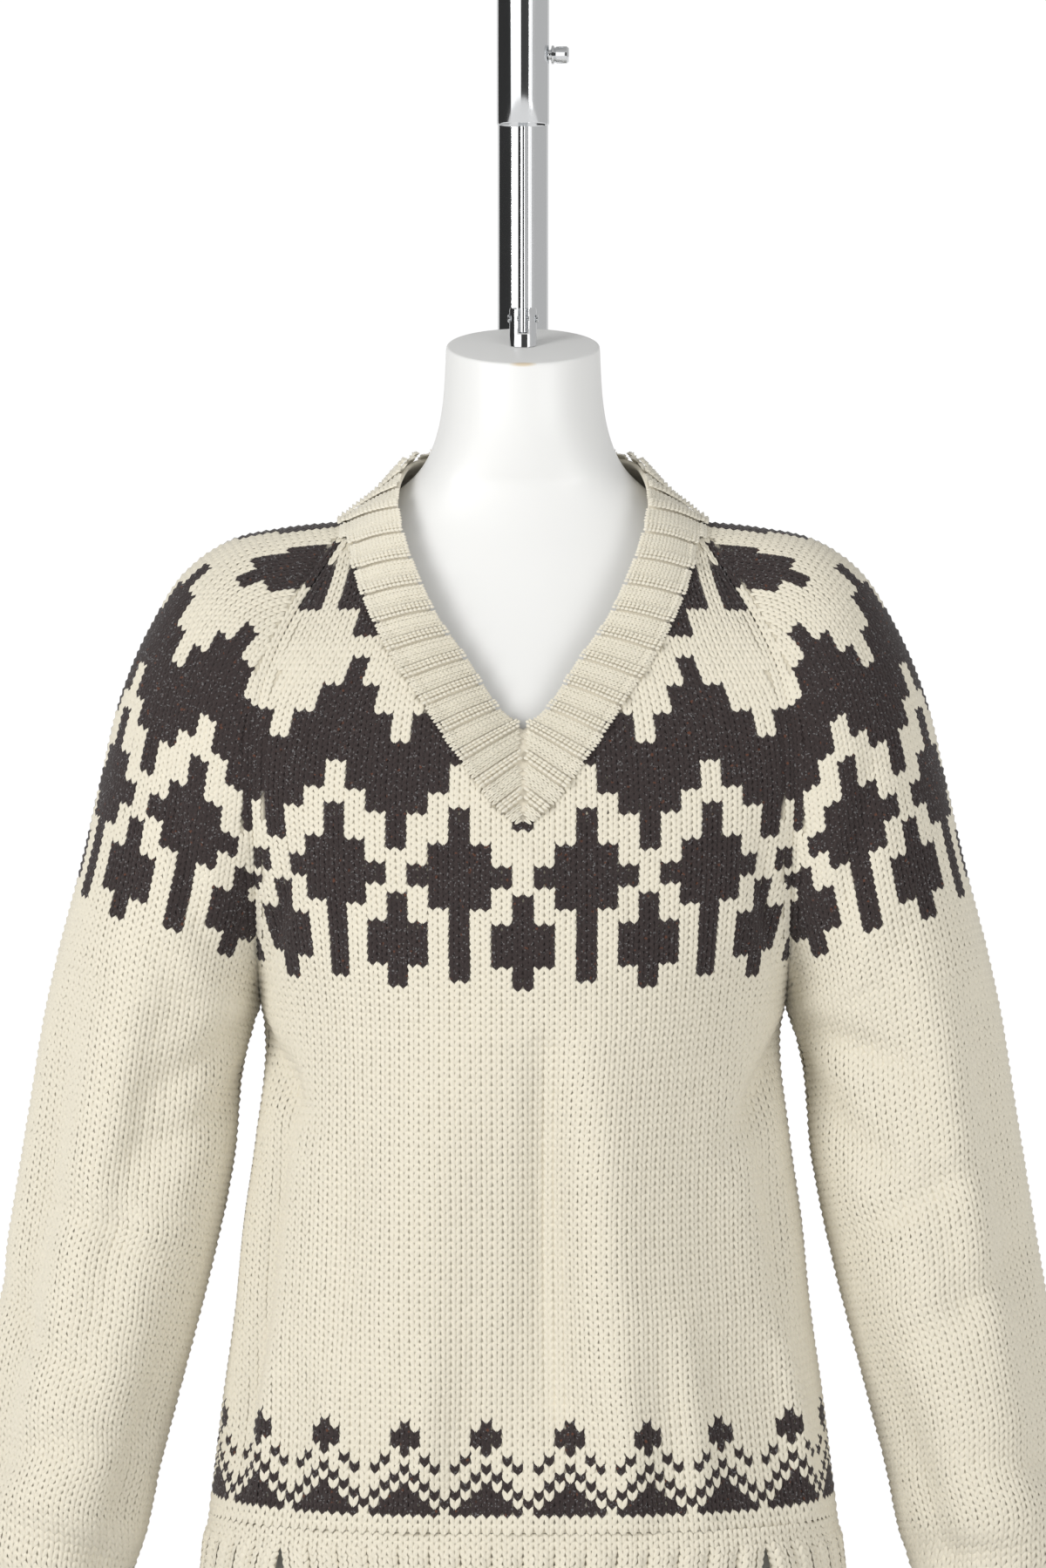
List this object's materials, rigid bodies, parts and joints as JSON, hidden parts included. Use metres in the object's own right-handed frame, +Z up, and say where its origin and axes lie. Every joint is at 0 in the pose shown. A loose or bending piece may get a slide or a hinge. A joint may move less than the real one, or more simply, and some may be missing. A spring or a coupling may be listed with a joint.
{
  "type": "v-neck sweater on a hanging dress form with its stand",
  "caption": "Chunky knit v-neck sweater with a patterned round yoke, raglan sleeves and vented hem, worn by a limbless dress form on a cane-shaped stand.",
  "frame": {"origin": "on the floor, under the middle of the dress form", "axes": "+Z up; the front of the garment faces -Y; +X is on the viewer's right when looking at the front"},
  "size_m": [0.6534, 0.34, 1.153],
  "materials": {
    "knit": "chunky cream wool in stocking stitch, with a charcoal tweed pattern",
    "rib": "chunky cream wool, ribbed",
    "lacquer": "glossy white",
    "chrome": "polished"
  },
  "bodies": {
    "root": {"front": "knit", "back": "knit", "sleeve_left": "knit", "sleeve_right": "knit", "neckband": "rib", "hem_front": "rib", "hem_back": "rib", "cuff_left": "rib", "cuff_right": "rib", "dress_form": "lacquer", "foot_plate": "chrome", "pole": "chrome", "bend": "chrome", "hanger_tube": "chrome", "rod": "chrome", "clevis": "chrome", "clevis_pin": "chrome", "thumb_screw": "chrome"}
  },
  "joints": []
}
